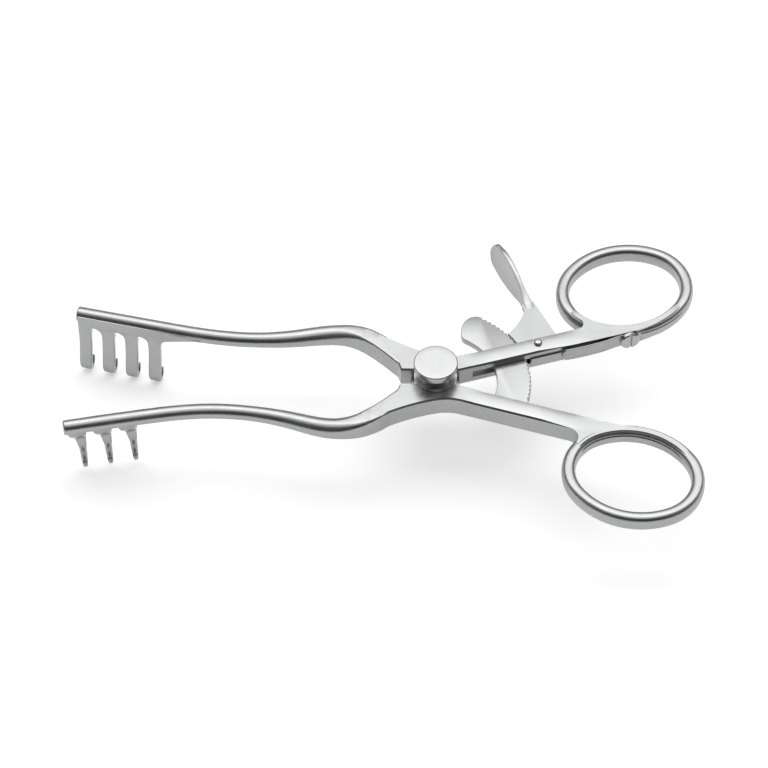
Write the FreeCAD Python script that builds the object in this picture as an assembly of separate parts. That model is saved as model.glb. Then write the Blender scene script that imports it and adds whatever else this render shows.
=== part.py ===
import FreeCAD, Part
import math
import os

# Self retaining retractor: two ring handled arms joined by a half lap and a knob headed pivot screw.
# Millimetres. The origin is on the pivot axis in the underside of the arms, +X runs to the finger rings,
# +Y to the slotted arm, +Z up to the knob. The prongs hang down.

V = FreeCAD.Vector

# Arms
arm_thickness = 6.2
edge_chamfer = 0.4
rod_diameter = 3.95
elbow_width = 5.0
shoulder_width = 4.5
rod_swell_x = -50.0
elbow_x = -27.0
shoulder_x = -13.5
round_share = 0.48
square_share = 0.12
rod_step = 0.012
tip_round = 0.5
rod_stations = 18
rod_crowding = 0.45

# Lap joint
upper_disc_radius = 5.6
lower_disc_radius = 6.4
lap_side_gap = 0.15
lap_face_gap = 0.05

# Pivot screw
pivot_radius = 2.5
pivot_clearance = 0.05
knob_radius = 5.75
knob_rim = 2.0
knob_neck_radius = 4.2
knob_height = 5.5
knob_neck_height = 2.2
knob_edge_chamfer = 0.35

# Finger rings, measured at the edge of the hole in the flat top
ring_long_radius = 16.0
ring_short_radius = 13.2
ring_start_s = 41.3
slotted_ring_seat = 2.2
plain_ring_seat = 1.3
ring_thickness = 4.9
ring_flat = 1.3
ring_bulge_in = 1.1
ring_bulge_out = 1.2
ring_side_height = 2.0
taper_start_x = 27.0
taper_end_x = 42.0

# Shanks, s counted from the pivot along each shank
shank_outer_start_s = 11.0
slotted_web_round = 1.8
plain_web_round = 3.0
slotted_rim_angle = 65.0
plain_rim_angle = 102.0

# Slotted arm
slotted_shank_angle = 16.6
slotted_shank_inner = 0.2
slotted_shank_width = 4.8
slot_height = 2.2
slot_start = 10.2
slot_end = 36.8

# Plain arm
plain_shank_angle = 17.5
plain_shank_inner = 1.05
plain_shank_width = 4.9

# Ratchet bar
bar_thickness = 1.9
bar_inner_radius = 16.1
bar_tip_radius = 25.0
bar_end_angle = 62.0
bar_end_bulge = 5.0
bar_root_depth = 3.6
bar_end_lead = 2.0
bar_crown_lead = 2.5
tooth_pitch = 3.3
tooth_flank = 0.36
tooth_depth = 0.55
tooth_count = 23
rivet_radius = 0.8
rivet_margin = 2.15
rivet_edge = 1.6
rivet_cover = 1.0

# Release lever
lever_pin_s = 29.0
lever_pin_n = 2.9
lever_pin_radius = 0.8
lever_pin_head_radius = 1.1
lever_pin_head_height = 0.8
lever_pin_head_round = 0.65
running_clearance = 0.05
nose_clearance = 0.15
paddle_height = 9.5
paddle_wall = 1.3
paddle_tip_x = 15.9
paddle_tip_y = 46.4
paddle_root_x = 24.7
paddle_root_y = 26.4
paddle_bow = 0.5
paddle_edge = 0.3
paddle_lap = 0.08
paddle_neck_rise = 0.5
tail_proud = 0.5
tail_start_s = 26.2
tail_under_leaf = 1.6
nose_corner_angle = 40.0
nose_low_depth = 2.4
heel_s = 35.5
heel_n = 2.85
mouth_s = 35.0
mouth_proud = 1.4
neck_half_width = 1.75
neck_slant = 1.6
neck_hollow = 1.1
blade_overlap = 7.0
blade_inset = 0.1

# Leaf spring and its screw
leaf_thickness = 0.4
leaf_height = 4.1
leaf_tip_s = 34.6
leaf_bend_s = 47.0
leaf_screw_lead = 3.9
leaf_end_reach = 0.4
leaf_tip_round = 1.6
leaf_seat_gap = 0.02
leaf_side_gap = 0.3
leaf_room_depth = 4.0
screw_head_radius = 2.65
screw_head_height = 1.0
screw_shank_radius = 1.1
screw_length = 3.0
screw_slot_width = 0.8
screw_slot_depth = 0.6
screw_edge = 0.25
screw_seat_gap = 0.01
screw_end_gap = 0.13
seat_radius = 3.4

# Prongs
prong_pitch = 6.35
prong_reach = 19.4
blunt_prong_width = 3.4
blunt_prong_count = 4
sharp_prong_width = 4.2
sharp_prong_count = 3
comb_wall = 1.7
comb_gap_round = 1.9
prong_wall = 1.5
prong_stations = 10
prong_chamfer = 0.28
sharp_prong_start = 0.4
sharp_prong_pitch = 6.65
comb_depth = 0.5
comb_lap = 0.3

middle = arm_thickness / 2
long = 200.0
cut_margin = 1.0
arc_inset = 1 - math.sqrt(0.5)
leaf_screw_s = ring_start_s + ring_long_radius - leaf_screw_lead

# Plan points that give each arm its own bow, from the rod's free end to the shoulder
slotted_rod = [(-94.0, 23.8), (-72.6, 18.8), (-60.6, 16.2), (-48.5, 14.8), (-37.0, 15.2),
               (-28.0, 16.3), (-21.5, 15.9), (-17.1, 14.0), (-13.2, 10.9), (-9.8, 7.5), (-7.2, 4.9)]
plain_rod = [(-95.8, -14.9), (-75.4, -11.2), (-60.5, -9.4), (-48.2, -10.1), (-37.0, -12.6),
             (-27.5, -15.1), (-21.0, -14.6), (-17.0, -12.9), (-13.1, -10.2), (-9.8, -7.3), (-7.4, -5.0)]

# Plan points of each shoulder, as x and distance from the centre line: inner side, then outer side
slotted_inner_side = [(-10.0, 5.2), (-9.0, 2.05), (6.3, 1.97)]
slotted_outer_side = [(3.2, 6.85), (-2.0, 8.0), (-6.1, 9.8), (-9.6, 11.6), (-13.0, 13.5), (-16.0, 15.2)]
plain_inner_side = [(-10.2, 5.2), (-9.3, 2.65), (4.2, 2.45)]
plain_outer_side = [(3.2, 7.75), (-2.0, 8.5), (-6.1, 9.75), (-9.6, 11.1), (-13.0, 12.7), (-16.0, 14.5)]

# Prong paths from the rod's middle as outward, down and sideways places, then widths and walls along them
blunt_prong_path = [(-1.1, 1.0, 0.0), (-1.45, prong_reach * 0.4, 0.0), (-2.15, prong_reach - 4.2, 0.0),
                    (-1.85, prong_reach - 1.5, 0.3), (-0.8, prong_reach - 0.7, 0.8),
                    (0.1, prong_reach - 1.5, 1.15), (0.5, prong_reach - 3.1, 1.35)]
blunt_prong_widths = [(0.0, blunt_prong_width), (0.69, blunt_prong_width), (0.75, blunt_prong_width * 0.94),
                      (0.875, blunt_prong_width * 0.6), (1.0, blunt_prong_width * 0.25)]
blunt_prong_walls = [(0.0, comb_wall), (0.2, prong_wall), (0.6, prong_wall), (0.8, prong_wall * 0.85),
                     (1.0, prong_wall * 0.45)]
sharp_prong_path = [(-0.35, 1.0, -0.1), (-1.1, prong_reach * 0.3, 0.45), (-1.8, prong_reach * 0.58, 1.45),
                    (-2.1, prong_reach - 4.4, 1.95), (-1.7, prong_reach - 1.6, 2.25),
                    (-0.8, prong_reach - 0.8, 2.4), (0.0, prong_reach - 1.5, 2.5),
                    (0.35, prong_reach - 2.9, 2.5)]
sharp_prong_widths = [(0.0, sharp_prong_width * 1.05), (0.125, sharp_prong_width),
                      (0.25, sharp_prong_width * 0.84),
                      (0.5, sharp_prong_width * 0.53), (0.75, sharp_prong_width * 0.44),
                      (0.875, sharp_prong_width * 0.38), (1.0, sharp_prong_width * 0.24)]
sharp_prong_walls = [(0.0, prong_wall * 2), (0.29, prong_wall * 1.2), (0.43, prong_wall), (0.57, prong_wall),
                     (0.86, prong_wall * 0.8), (1.0, prong_wall * 0.45)]

# Outline of the thumb paddle as shares along it and shares of its half height
paddle_outline = [(0.38, 0.8), (0.66, 1.0), (0.9, 0.72)]


class Shank:
    """Plan directions of one shank: s runs from the pivot to the ring, n outward from the centre line."""

    def __init__(self, side, angle):
        turn = math.radians(angle)
        self.side = side
        self.along = V(math.cos(turn), side * math.sin(turn), 0)
        self.out = V(-math.sin(turn), side * math.cos(turn), 0)

    def point(self, s, n, z=0.0):
        return self.along * s + self.out * n + V(0, 0, z)


slotted_shank = Shank(1, slotted_shank_angle)
plain_shank = Shank(-1, plain_shank_angle)


def polar(radius, degrees, z=0.0):
    turn = math.radians(degrees)
    return V(radius * math.cos(turn), radius * math.sin(turn), z)


def arc(first, middle_point, last):
    return Part.Arc(first, middle_point, last).toShape()


def spline(points, first_direction=None, last_direction=None):
    """Smooth curve through the points, leaving and arriving in the given directions."""
    curve = Part.BSplineCurve()
    places = [V(*point) for point in points]
    if first_direction is None:
        curve.interpolate(places)
    else:
        curve.interpolate(Points=places, InitialTangent=first_direction, FinalTangent=last_direction)
    return curve


def polygon(points):
    return Part.makePolygon(points + [points[0]])


def plate(wire, bottom, height):
    """Straight plate over a closed plan outline drawn at z = 0."""
    solid = Part.Face(wire).extrude(V(0, 0, height))
    solid.translate(V(0, 0, bottom))
    return solid


def disc(radius, bottom, height, centre=V(0, 0, 0)):
    return Part.makeCylinder(radius, height, V(centre.x, centre.y, bottom))


def rounded_section(centre, across, up, width, height, corner):
    """Closed rounded rectangle about centre, from four straight sides and four quarter arcs."""
    half_w = width / 2
    half_h = height / 2
    diagonal = corner * arc_inset

    def at(x, y):
        return centre + across * x + up * y

    edges = []
    for sx, sy in ((1, 1), (-1, 1), (-1, -1), (1, -1)):
        on_side = at(sx * half_w, sy * (half_h - corner))
        on_top = at(sx * (half_w - corner), sy * half_h)
        knee = at(sx * (half_w - diagonal), sy * (half_h - diagonal))
        if sx == sy:
            edges.append((on_side, knee, on_top))
        else:
            edges.append((on_top, knee, on_side))
    shapes = []
    for index, (start, knee, end) in enumerate(edges):
        shapes.append(arc(start, knee, end))
        shapes.append(Part.makeLine(end, edges[(index + 1) % 4][0]))
    return Part.Wire(shapes)


def chamfered_section(centre, across, up, width, height, chamfer):
    """Closed rectangle about centre with its corners cut off."""
    half_w = width / 2
    half_h = height / 2
    places = [(half_w, half_h - chamfer), (half_w - chamfer, half_h), (chamfer - half_w, half_h),
              (-half_w, half_h - chamfer), (-half_w, chamfer - half_h), (chamfer - half_w, -half_h),
              (half_w - chamfer, -half_h), (half_w, chamfer - half_h)]
    return polygon([centre + across * x + up * y for x, y in places])


def eased(x, start, end):
    """Smooth share from 0 at start to 1 at end."""
    share = min(max((x - start) / (end - start), 0.0), 1.0)
    return share * share * (3 - 2 * share)


def stations_along(curve, count, crowding=0.0):
    """Points and directions along a curve, at equal steps or crowded towards its end."""
    edge = curve.toShape()
    stations = []
    for index in range(count):
        share = index / (count - 1)
        share += crowding * share * (1 - share)
        place = edge.getParameterByLength(edge.Length * share)
        stations.append((edge.valueAt(place), edge.tangentAt(place)))
    return stations


def rod_section(point, direction, growth=0.0):
    """Section of the jaw rod: round near the free end, flatter and taller towards the shoulder."""
    swell = eased(point.x, rod_swell_x, elbow_x)
    settle = eased(point.x, elbow_x, shoulder_x)
    width = rod_diameter + (elbow_width - rod_diameter) * swell - (elbow_width - shoulder_width) * settle
    full_height = arm_thickness - 2 * rod_step
    height = rod_diameter + (full_height - rod_diameter) * eased(point.x, rod_swell_x, shoulder_x)
    corner = width * (round_share - (round_share - square_share) * settle)
    across = V(0, 0, 1).cross(direction)
    return rounded_section(point, across, V(0, 0, 1), width + growth, height + growth,
                           corner + growth * round_share)


def rod(points):
    """Jaw rod carried along its bow, with a rounded free end."""
    curve = spline([(x, y, middle) for x, y in points])
    stations = stations_along(curve, rod_stations, rod_crowding)
    solid = Part.makeLoft([rod_section(point, direction) for point, direction in stations], True, True)
    first, direction = stations[0]
    end = rod_section(first - direction * tip_round, direction, -2 * tip_round)
    return solid.fuse(Part.makeLoft([end, rod_section(first, direction)], True, True))


def through_hole(radius, centre=V(0, 0, 0)):
    return disc(radius, -cut_margin, arm_thickness + 2 * cut_margin, centre)


def chamfered_plate(wire, bottom, height, chamfer):
    """Plate with its upper and lower outline chamfered."""
    solid = plate(wire, bottom, height)
    outline = []
    for edge in solid.Edges:
        box = edge.BoundBox
        if box.ZLength < 1e-6:
            outline.append(edge)
    return solid.makeChamfer(chamfer, outline)


def oval_arcs():
    """Oval of four arcs through the finger hole's long and short radius."""
    corner = math.hypot(ring_long_radius, ring_short_radius)
    excess = ring_long_radius - ring_short_radius
    end_radius = (corner - excess) / 2 * corner / ring_long_radius
    side_radius = (corner + excess) / 2 * corner / ring_short_radius
    end_shift = ring_long_radius - end_radius
    side_shift = side_radius - ring_short_radius
    joint_angle = math.degrees(math.atan2(side_shift, end_shift))
    return end_radius, side_radius, end_shift, side_shift, joint_angle


def oval_place(degrees, growth):
    """Place on the grown oval, about its centre, where its outward normal has the given angle."""
    end_radius, side_radius, end_shift, side_shift, joint_angle = oval_arcs()
    turn = math.radians(degrees)
    if abs(math.cos(turn)) > math.cos(math.radians(joint_angle)):
        radius = end_radius + growth
        return math.copysign(end_shift, math.cos(turn)) + radius * math.cos(turn), radius * math.sin(turn)
    radius = side_radius + growth
    return radius * math.cos(turn), radius * math.sin(turn) - math.copysign(side_shift, math.sin(turn))


def ring_point(shank, seat, degrees, growth, z=0.0):
    along, outward = oval_place(degrees, growth)
    return shank.point(ring_start_s + ring_long_radius + along, seat + ring_short_radius + outward, z)


def ring_rim(shank, seat, growth):
    """Closed outline of the oval, grown by the given amount."""
    joint_angle = oval_arcs()[4]
    stops = [-joint_angle, joint_angle, 180 - joint_angle, 180 + joint_angle, 360 - joint_angle]
    edges = []
    for start, end in zip(stops, stops[1:]):
        places = [ring_point(shank, seat, angle, growth) for angle in (start, (start + end) / 2, end)]
        edges.append(arc(*places))
    return Part.Wire(edges)


def ring_hole(shank, seat, growth):
    return plate(ring_rim(shank, seat, growth), -cut_margin, arm_thickness + 2 * cut_margin)


def ring(shank, seat):
    """Finger ring: a section with flat top and bottom, turned about the centres of the four arcs."""
    end_radius, side_radius, end_shift, side_shift, joint_angle = oval_arcs()
    centre_s = ring_start_s + ring_long_radius
    centre_n = seat + ring_short_radius
    half = ring_thickness / 2
    quarters = [(-joint_angle, 2 * joint_angle, end_radius, end_shift, 0),
                (joint_angle, 180 - 2 * joint_angle, side_radius, 0, -side_shift),
                (180 - joint_angle, 2 * joint_angle, end_radius, -end_shift, 0),
                (180 + joint_angle, 180 - 2 * joint_angle, side_radius, 0, side_shift)]
    pieces = []
    for start, sweep, radius, shift_s, shift_n in quarters:
        centre = shank.point(centre_s + shift_s, centre_n + shift_n, middle)
        turn = math.radians(start)
        outward = shank.along * math.cos(turn) + shank.out * math.sin(turn)

        def at(distance, z):
            return centre + outward * (radius + distance) + V(0, 0, z)

        upright = ring_side_height / 2
        section = polygon([at(0, half), at(ring_flat, half), at(ring_flat + ring_bulge_out, upright),
                           at(ring_flat + ring_bulge_out, -upright), at(ring_flat, -half), at(0, -half),
                           at(-ring_bulge_in, -upright), at(-ring_bulge_in, upright)])
        pieces.append(Part.Face(section).revolve(centre, V(0, 0, shank.side), sweep))
    return pieces[0].multiFuse(pieces[1:])


def web_round(shank, seat, outer, radius):
    """Hollow arc that runs from the shank's outer edge into the ring's rim."""
    halvings = 40
    rim = ring_rim(shank, seat, ring_flat)
    low = 0.0
    high = ring_start_s
    for _ in range(halvings):
        s = (low + high) / 2
        gap = rim.distToShape(Part.Vertex(shank.point(s, outer + radius)))[0]
        low, high = (s, high) if gap > radius else (low, s)
    centre = shank.point(s, outer + radius)
    on_rim = rim.distToShape(Part.Vertex(centre))[1][0][0]
    on_shank = shank.point(s, outer)
    knee = centre + ((on_rim - centre) + (on_shank - centre)).normalize() * radius
    return on_rim, knee, on_shank


def taper():
    """Envelope that thins the arm from the shank to the thickness of its ring."""
    drop = (arm_thickness - ring_thickness) / 2
    outline = [V(-long, 0, 0), V(taper_start_x, 0, 0), V(taper_end_x, 0, drop), V(long, 0, drop),
               V(long, 0, arm_thickness - drop), V(taper_end_x, 0, arm_thickness - drop),
               V(taper_start_x, 0, arm_thickness), V(-long, 0, arm_thickness)]
    outline = [point - V(0, long, 0) for point in outline]
    return Part.Face(polygon(outline)).extrude(V(0, 2 * long, 0))


def arm_body(shank, inner, width, seat, rim_angle, web_radius, inner_side, outer_side, rod_points):
    """Shoulder, shank and ring of one arm, with the jaw rod let into the shoulder."""
    side = shank.side
    outer = inner + width
    rim_along, rim_outward = oval_place(-rim_angle, ring_flat)
    rise = seat + ring_short_radius + rim_outward - inner
    rim_s = ring_start_s + ring_long_radius + rim_along
    bend_s = rim_s - rise * math.tan(math.radians(rim_angle))
    rim_place = ring_point(shank, seat, -rim_angle, ring_flat)
    straight_end = shank.point(2 * bend_s - rim_s, inner)
    bend = Part.BezierCurve()
    bend.setPoles([straight_end, shank.point(bend_s, inner), rim_place])
    on_rim, knee, on_shank = web_round(shank, seat, outer, web_radius)
    back_start = shank.point(shank_outer_start_s, outer)
    corners = [V(x, side * y, 0) for x, y in inner_side] + [straight_end]
    edges = [Part.makeLine(first, second) for first, second in zip(corners, corners[1:])]
    hole_centre = shank.point(ring_start_s + ring_long_radius, seat + ring_short_radius)
    back_points = [tuple(back_start)] + [(x, side * y, 0) for x, y in outer_side]
    edges += [bend.toShape(),
              Part.makeLine(rim_place, hole_centre),
              Part.makeLine(hole_centre, on_rim),
              arc(on_rim, knee, on_shank),
              Part.makeLine(on_shank, back_start),
              spline(back_points, -shank.along, V(*back_points[-1]) - V(*back_points[-2])).toShape(),
              Part.makeLine(V(*back_points[-1]), corners[0])]
    body = chamfered_plate(Part.Wire(edges), 0, arm_thickness, edge_chamfer)
    body = body.common(taper())
    body = body.cut(ring_hole(shank, seat, ring_flat / 2))
    body = body.fuse(ring(shank, seat))
    return body.fuse(rod(rod_points))


def prong_frame(points, distance):
    """Point of the jaw rod's centre line at a distance from its free end, and its directions."""
    first = V(*points[0], middle)
    second = V(*points[1], middle)
    along = (second - first).normalize()
    side = 1 if points[0][1] > 0 else -1
    out = V(0, 0, 1).cross(along) * side
    return first + along * distance, along, out


def between(share, stops):
    """Size at a share of the path, on straight lines between the (share, size) stops."""
    for (start, first), (end, last) in zip(stops, stops[1:]):
        if share <= end:
            return first + (last - first) * (share - start) / (end - start)
    return stops[-1][1]


def prong(points, start, path, widths, walls):
    """Hooked prong: flat sections carried along a path of (outward, down, sideways) places."""
    base, along, out = prong_frame(points, start)
    curve = spline([tuple(base + along * sideways + out * outward - V(0, 0, down))
                    for outward, down, sideways in path])
    sections = []
    for index, (centre, direction) in enumerate(stations_along(curve, prong_stations)):
        share = index / (prong_stations - 1)
        width = between(share, widths)
        wall = between(share, walls)
        across = along.cross(direction).normalize()
        chamfer = min(width, wall) * prong_chamfer
        sections.append(chamfered_section(centre, along, across, width, wall, chamfer))
    return Part.makeLoft(sections, True, True)


def comb(points, first, count, pitch, width):
    """Low web between the blunt prongs, with a rounded corner on the pivot side of each gap."""
    base, along, out = prong_frame(points, first)
    wall_out = -rod_diameter / 2
    solids = []

    def at(distance, down):
        return base + along * distance + out * wall_out - V(0, 0, down)

    low = rod_diameter / 2 + comb_depth
    for index in range(count - 1):
        left = index * pitch + width / 2 - comb_lap
        right = (index + 1) * pitch - width / 2 + comb_lap
        bend = right - comb_lap
        knee = at(bend - comb_gap_round * arc_inset, low + comb_gap_round * arc_inset)
        edges = [Part.makeLine(at(left, 0), at(right, 0)),
                 Part.makeLine(at(right, 0), at(right, low + comb_gap_round)),
                 Part.makeLine(at(right, low + comb_gap_round), at(bend, low + comb_gap_round)),
                 arc(at(bend, low + comb_gap_round), knee, at(bend - comb_gap_round, low)),
                 Part.makeLine(at(bend - comb_gap_round, low), at(left, low)),
                 Part.makeLine(at(left, low), at(left, 0))]
        solids.append(Part.Face(Part.Wire(edges)).extrude(out * comb_wall))
    return solids


def bar_outline(grow=0.0):
    """Plan of the ratchet bar about the pivot, toothed outside and full round at its end."""
    root_inner = -plain_shank_angle - math.degrees(
        math.asin((plain_shank_inner + bar_root_depth) / bar_inner_radius))
    root_outer = -plain_shank_angle - math.degrees(
        math.asin((plain_shank_inner + bar_root_depth) / bar_tip_radius))
    inner = bar_inner_radius - grow
    tip = bar_tip_radius
    valley = bar_tip_radius - tooth_depth
    edges = []
    flank_angle = math.degrees(tooth_flank / bar_tip_radius)
    angle = bar_end_angle - bar_end_lead
    outer_points = [polar(tip, bar_end_angle)]
    for index in range(tooth_count):
        outer_points.append(polar(tip, angle))
        outer_points.append(polar(valley, angle - flank_angle))
        angle -= tooth_pitch
    outer_points.append(polar(tip, angle))
    for first, second in zip(outer_points, outer_points[1:]):
        edges.append(Part.makeLine(first, second))
    last = polar(tip, root_outer)
    edges.append(arc(outer_points[-1], polar(tip, (angle + root_outer) / 2), last))
    corner = polar(inner, root_inner)
    edges.append(Part.makeLine(last, corner))
    end = polar(inner, bar_end_angle - bar_crown_lead)
    edges.append(arc(corner, polar(inner, (root_inner + bar_end_angle) / 2), end))
    crown = polar((inner + tip) / 2, bar_end_angle + bar_end_bulge)
    edges.append(arc(end, crown, outer_points[0]))
    return Part.Wire(edges)


def ratchet_bar():
    return plate(bar_outline(), middle - bar_thickness / 2, bar_thickness)


def rivet_places():
    depth = plain_shank_inner + bar_root_depth - rivet_edge
    stations = (bar_inner_radius + rivet_margin, bar_tip_radius - rivet_margin)
    return [plain_shank.point(s, depth) for s in stations]


def rivet(place, run_out=0.0):
    """Rivet from the arm's underside through the bar, or its hole with some run out below."""
    return disc(rivet_radius, -run_out, middle + bar_thickness / 2 + rivet_cover + run_out, place)


def ratchet_rivets():
    return Part.makeCompound([rivet(place) for place in rivet_places()])


def lever_plate():
    """Flat of the release lever: pawl nose, body in the slot, tail at the front and neck to the paddle."""
    nose_radius = bar_tip_radius + nose_clearance
    low_angle = slotted_shank_angle + math.degrees(
        math.asin((slotted_shank_inner + nose_low_depth) / nose_radius))
    corner = polar(nose_radius, nose_corner_angle)
    inside = polar(nose_radius, low_angle)
    tail_n = slotted_shank_inner - tail_proud
    tail_left = slotted_shank.point(tail_start_s, tail_n)
    tail_right = slotted_shank.point(leaf_tip_s + tail_under_leaf, tail_n)
    heel = slotted_shank.point(heel_s, heel_n)
    mouth = slotted_shank.point(mouth_s, slotted_shank_inner + slotted_shank_width + mouth_proud)
    root = V(paddle_root_x, paddle_root_y, 0)
    tip = V(paddle_tip_x, paddle_tip_y, 0)
    chord = (tip - root).normalize()
    across = V(chord.y, -chord.x, 0)
    neck_right = root + across * neck_half_width
    neck_left = root - across * neck_half_width - chord * neck_slant
    blade_half = paddle_wall / 2 - blade_inset
    blade_right = root + chord * blade_overlap + across * blade_half
    blade_left = root + chord * blade_overlap - across * blade_half
    hollow = (corner + neck_left) * 0.5 + across * neck_hollow
    edges = [arc(inside, polar(nose_radius, (nose_corner_angle + low_angle) / 2), corner),
             arc(corner, hollow, neck_left),
             Part.makeLine(neck_left, blade_left),
             Part.makeLine(blade_left, blade_right),
             Part.makeLine(blade_right, neck_right),
             Part.makeLine(neck_right, mouth),
             Part.makeLine(mouth, heel),
             Part.makeLine(heel, tail_right),
             Part.makeLine(tail_right, tail_left),
             Part.makeLine(tail_left, inside)]
    return plate(Part.Wire(edges), middle - bar_thickness / 2, bar_thickness)


def paddle():
    """Thumb paddle: a bowed upright blade trimmed to a long oval."""
    root = V(paddle_root_x, paddle_root_y, 0)
    span = V(paddle_tip_x, paddle_tip_y, 0) - root
    chord = V(span).normalize()
    across = V(chord.y, -chord.x, 0)
    half_wall = paddle_wall / 2
    reach = paddle_bow + paddle_wall + cut_margin

    def at(share, aside):
        return root + span * share + across * aside

    def side(share, up):
        return at(share, -reach) + V(0, 0, middle + up)

    blade = Part.Wire([
        arc(at(-paddle_lap, -half_wall), at(0.5, paddle_bow - half_wall), at(1.0, -half_wall)),
        Part.makeLine(at(1.0, -half_wall), at(1.0, half_wall)),
        arc(at(1.0, half_wall), at(0.5, paddle_bow + half_wall), at(-paddle_lap, half_wall)),
        Part.makeLine(at(-paddle_lap, half_wall), at(-paddle_lap, -half_wall)),
    ])
    solid = plate(blade, middle - paddle_height, paddle_height * 2)
    half = paddle_height / 2
    neck = bar_thickness / 2
    edge = [(-paddle_lap, neck), (paddle_lap, neck + paddle_neck_rise)]
    edge += [(share, half * part) for share, part in paddle_outline]
    last_share, last_up = edge[-1]
    upper = spline([tuple(side(share, up)) for share, up in edge])
    lower = spline([tuple(side(share, -up)) for share, up in edge])
    oval = Part.Wire([upper.toShape(),
                      arc(side(last_share, last_up), side(1.0, 0), side(last_share, -last_up)),
                      lower.toShape(),
                      Part.makeLine(side(-paddle_lap, -neck), side(-paddle_lap, neck))])
    solid = solid.common(Part.Face(oval).extrude(across * 2 * reach))
    rim = [line for line in solid.Edges if line.Length > paddle_height / 2]
    return solid.makeChamfer(paddle_edge, rim)


def release_lever():
    pin = slotted_shank.point(lever_pin_s, lever_pin_n)
    lever = lever_plate().fuse(paddle())
    return lever.cut(disc(lever_pin_radius + running_clearance, 0, arm_thickness, pin))


def lever_pin():
    place = slotted_shank.point(lever_pin_s, lever_pin_n)
    head = disc(lever_pin_head_radius, arm_thickness, lever_pin_head_height, place)
    rim = [edge for edge in head.Edges if edge.BoundBox.ZMin > arm_thickness + lever_pin_head_height / 2]
    head = head.makeFillet(lever_pin_head_round, rim)
    return head.fuse(disc(lever_pin_radius, 0, arm_thickness, place))


def pivot_screw():
    """Knob headed screw: plain shank through both laps, neck, flared underside and flat topped rim."""
    top = arm_thickness + knob_height
    profile = [(0, 0), (pivot_radius, 0), (pivot_radius, arm_thickness), (knob_neck_radius, arm_thickness),
               (knob_neck_radius, arm_thickness + knob_neck_height), (knob_radius, top - knob_rim),
               (knob_radius, top - knob_edge_chamfer), (knob_radius - knob_edge_chamfer, top), (0, top)]
    outline = polygon([V(radius, 0, z) for radius, z in profile])
    return Part.Face(outline).revolve(V(0, 0, 0), V(0, 0, 1), 360)


def leaf_outline(s, outward_face):
    """Distance n of the leaf's faces at a place s along the slotted shank."""
    tip_rise = tail_proud + running_clearance
    share = max(0.0, (leaf_bend_s - s) / (leaf_bend_s - leaf_tip_s))
    n = slotted_shank_inner - leaf_seat_gap - tip_rise * share
    return n - (leaf_thickness if outward_face else 0.0)


def leaf_spring():
    """Flat leaf, bent lightly off the shank to press on the lever's tail, round at both ends."""
    half = leaf_height / 2
    round_s = leaf_screw_s + leaf_end_reach
    tip_round_s = leaf_tip_s + leaf_tip_round
    stops = (leaf_tip_s, leaf_bend_s, round_s + half)
    front = [slotted_shank.point(s, leaf_outline(s, True)) for s in stops]
    rear = [slotted_shank.point(s, leaf_outline(s, False)) for s in stops]
    strip = plate(polygon(front + rear[::-1]), middle - half, leaf_height)
    depth = leaf_room_depth + cut_margin

    def at(s, up):
        return slotted_shank.point(s, slotted_shank_inner - leaf_room_depth, middle + up)

    outline = Part.Wire([
        arc(at(tip_round_s, half), at(leaf_tip_s, 0), at(tip_round_s, -half)),
        Part.makeLine(at(tip_round_s, -half), at(round_s, -half)),
        arc(at(round_s, -half), at(round_s + half, 0), at(round_s, half)),
        Part.makeLine(at(round_s, half), at(tip_round_s, half)),
    ])
    strip = strip.common(Part.Face(outline).extrude(slotted_shank.out * depth))
    return strip.cut(screw_axis_cylinder(screw_shank_radius, -leaf_room_depth, depth))


def leaf_room():
    """Clear space on the shank's side for the leaf, wherever the ring's wall reaches it."""
    half = leaf_height / 2 + leaf_side_gap
    corners = [slotted_shank.point(s, slotted_shank_inner) for s in (leaf_tip_s, leaf_screw_s)]
    depth = slotted_shank.out * -leaf_room_depth
    outline = polygon([corners[0], corners[1], corners[1] + depth, corners[0] + depth])
    return plate(outline, middle - half, 2 * half)


def screw_axis_cylinder(radius, start_n, length):
    """Cylinder on the leaf screw's axis, from start_n outward from the shank's inner face."""
    base = slotted_shank.point(leaf_screw_s, slotted_shank_inner + start_n, middle)
    return Part.makeCylinder(radius, length, base, slotted_shank.out)


def screw_under_head():
    """Distance n of the underside of the screw's head, seated on the leaf."""
    return -leaf_seat_gap - leaf_thickness - screw_seat_gap


def spring_screw():
    """Cheese head screw with a straight slot, driven into the side of the shank."""
    under_head = screw_under_head()
    face_n = under_head - screw_head_height
    face_centre = slotted_shank.point(leaf_screw_s, slotted_shank_inner + face_n, middle)
    head = screw_axis_cylinder(screw_head_radius, face_n, screw_head_height)
    rim = [edge for edge in head.Edges if edge.CenterOfMass.distanceToPoint(face_centre) < screw_seat_gap]
    head = head.makeChamfer(screw_edge, rim)
    shank = screw_axis_cylinder(screw_shank_radius, under_head, screw_length)
    slot_half = screw_head_radius + cut_margin
    slot_box = Part.makeBox(screw_slot_width, screw_slot_depth * 2, 2 * slot_half)
    slot_box.translate(V(-screw_slot_width / 2, -screw_slot_depth, -slot_half))
    slot_box.rotate(V(0, 0, 0), V(0, 0, 1), slotted_shank_angle)
    slot_box.translate(face_centre)
    return head.fuse(shank).cut(slot_box)


def lever_slot():
    """Clear space through the slotted shank for the ratchet bar and the lever."""
    corners = [slotted_shank.point(slot_start, -long), slotted_shank.point(slot_end, -long),
               slotted_shank.point(slot_end, long), slotted_shank.point(slot_start, long)]
    return plate(polygon(corners), middle - slot_height / 2, slot_height)


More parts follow.
